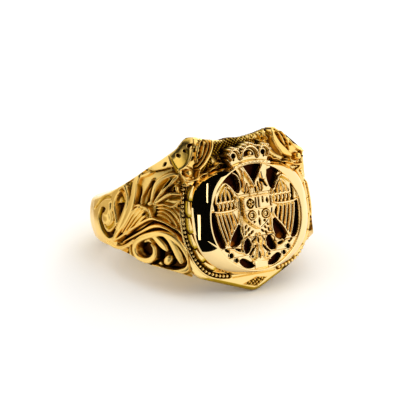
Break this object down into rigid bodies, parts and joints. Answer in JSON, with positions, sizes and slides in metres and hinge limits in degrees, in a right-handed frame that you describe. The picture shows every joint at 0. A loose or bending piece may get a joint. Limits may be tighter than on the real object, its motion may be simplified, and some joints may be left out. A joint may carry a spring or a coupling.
{
  "type": "signet ring",
  "caption": "Heavy yellow-gold signet ring with a cartouche bezel, a mirror-polished domed plaque, a raised crowned double eagle and deeply carved shoulders.",
  "frame": {"origin": "centre of the finger bore", "axes": "+Z along the finger bore towards the crown and the ears, -Y out of the bezel towards the viewer, +X to the right of someone looking at the bezel"},
  "size_m": [0.0254, 0.0273, 0.0189],
  "materials": {
    "polished_gold": "polished yellow gold",
    "mirror_gold": "mirror-polished yellow gold",
    "carved_gold": "carved yellow gold, bright on the ridges and dark in the grooves",
    "relief_gold": "bright cast relief in yellow gold",
    "shadowed_gold": "darkened gold ground, finely stippled"
  },
  "bodies": {
    "root": {"shank": "polished_gold", "left_shoulder": "carved_gold", "right_shoulder": "carved_gold", "left_scroll_frame": "carved_gold", "right_scroll_frame": "carved_gold", "left_lower_volute": "carved_gold", "right_lower_volute": "carved_gold", "left_palmette": "carved_gold", "right_palmette": "carved_gold", "left_lily": "carved_gold", "right_lily": "carved_gold", "left_back_volute": "carved_gold", "right_back_volute": "carved_gold", "left_pierced_rail": "carved_gold", "right_pierced_rail": "carved_gold", "bezel_frame": "polished_gold", "left_beaded_border": "polished_gold", "right_beaded_border": "polished_gold", "left_scallop_strip": "polished_gold", "right_scallop_strip": "polished_gold", "domed_plaque": "mirror_gold", "medallion_ground": "shadowed_gold", "eagle_body": "relief_gold", "left_wing": "relief_gold", "right_wing": "relief_gold", "left_head": "relief_gold", "right_head": "relief_gold", "tail": "relief_gold", "left_claw": "relief_gold", "right_claw": "relief_gold", "breast_shield": "relief_gold", "crown": "relief_gold", "left_rim_beads": "relief_gold", "right_rim_beads": "relief_gold", "chief_panel": "shadowed_gold", "left_ear_scroll": "polished_gold", "right_ear_scroll": "polished_gold", "tip_panel": "relief_gold"}
  },
  "joints": []
}
